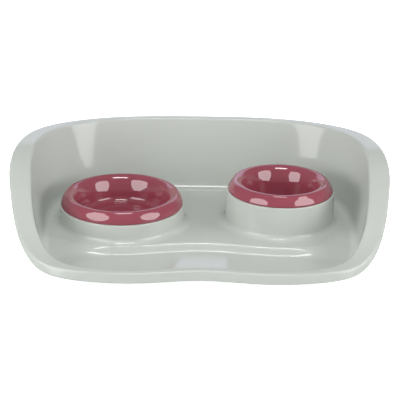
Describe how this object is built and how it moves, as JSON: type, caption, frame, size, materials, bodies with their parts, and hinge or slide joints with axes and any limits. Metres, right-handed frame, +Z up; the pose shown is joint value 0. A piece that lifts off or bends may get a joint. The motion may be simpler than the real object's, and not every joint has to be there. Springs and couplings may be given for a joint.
{
  "type": "pet feeding station",
  "caption": "Pet feeding station: a splash tray with a high wrap-around wall, round pedestals of unequal height, and shallow bowls that lift out.",
  "frame": {"origin": "middle of the overall box, on the ground under the soles of the feet", "axes": "+X to the right as seen from the open front, +Y to the high back wall, +Z up"},
  "size_m": [0.4588, 0.3104, 0.109],
  "materials": {
    "moulding": "glossy, pale grey with a green cast",
    "bowl": "glossy, dusky rose",
    "rubber": "matt"
  },
  "bodies": {
    "tray": {"tray": "moulding", "foot_front_left": "rubber", "foot_front_right": "rubber", "foot_back_left": "rubber", "foot_back_right": "rubber"},
    "large_bowl": {"large_bowl": "bowl"},
    "small_bowl": {"small_bowl": "bowl"}
  },
  "joints": [
    {"name": "large_bowl_lift", "type": "slide", "parent": "tray", "child": "large_bowl", "axis": [0, 0, 1], "range_m": [0, 0.1]},
    {"name": "small_bowl_lift", "type": "slide", "parent": "tray", "child": "small_bowl", "axis": [0, 0, 1], "range_m": [0, 0.1]}
  ]
}
